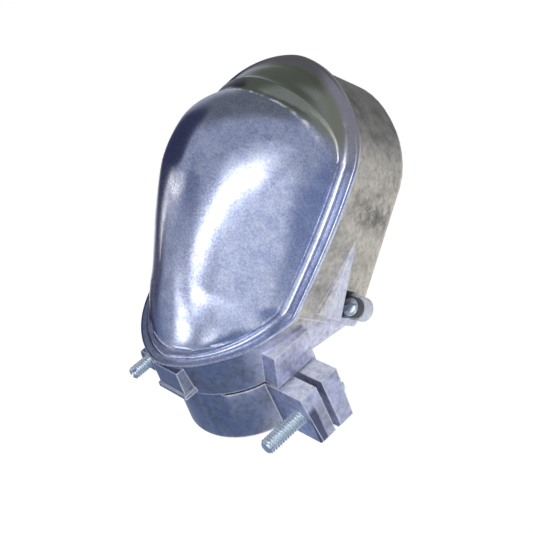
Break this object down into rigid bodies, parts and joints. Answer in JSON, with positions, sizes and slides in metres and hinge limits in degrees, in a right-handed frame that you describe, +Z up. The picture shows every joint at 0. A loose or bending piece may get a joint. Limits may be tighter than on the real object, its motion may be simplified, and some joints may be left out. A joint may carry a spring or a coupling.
{
  "type": "service entrance weatherhead",
  "caption": "Cast aluminium hood that clamps on an upright conduit, with a domed cap, a slanted wire opening under its brim, an insulator plate and screws.",
  "frame": {"origin": "centre of the collar's bottom face, on the conduit axis", "axes": "+Z up the conduit, -Y out of the wire opening, -X towards the clamp ears"},
  "size_m": [0.0947, 0.1358, 0.1162],
  "materials": {
    "base_casting": "as-cast, dull",
    "cap": "tumbled bright",
    "insulator": "moulded black",
    "clamp_screw": "bright zinc plate",
    "insulator_screw_near": "bright zinc plate",
    "insulator_screw_far": "bright zinc plate",
    "cap_set_screw": "bright zinc plate"
  },
  "bodies": {
    "base": {"base_casting": "base_casting", "cap": "cap", "insulator": "insulator"},
    "clamp_screw": {"clamp_screw": "clamp_screw"},
    "near_screw": {"insulator_screw_near": "insulator_screw_near"},
    "far_screw": {"insulator_screw_far": "insulator_screw_far"},
    "set_screw": {"cap_set_screw": "cap_set_screw"}
  },
  "joints": [
    {"name": "clamp_screw_turn", "type": "hinge", "parent": "base", "child": "clamp_screw", "pos_m": [-0.04, 0, 0.0113], "axis": [0, 1, 0], "continuous": true},
    {"name": "near_screw_turn", "type": "hinge", "parent": "base", "child": "near_screw", "pos_m": [-0.04107, -0.0304, 0.03463], "axis": [0, 0.7071, 0.7071], "continuous": true},
    {"name": "far_screw_turn", "type": "hinge", "parent": "base", "child": "far_screw", "pos_m": [0.04107, -0.0304, 0.03463], "axis": [0, 0.7071, 0.7071], "continuous": true},
    {"name": "set_screw_turn", "type": "hinge", "parent": "base", "child": "set_screw", "pos_m": [0.0105, 0.0215, 0.037], "axis": [0, 1, 0], "continuous": true}
  ]
}
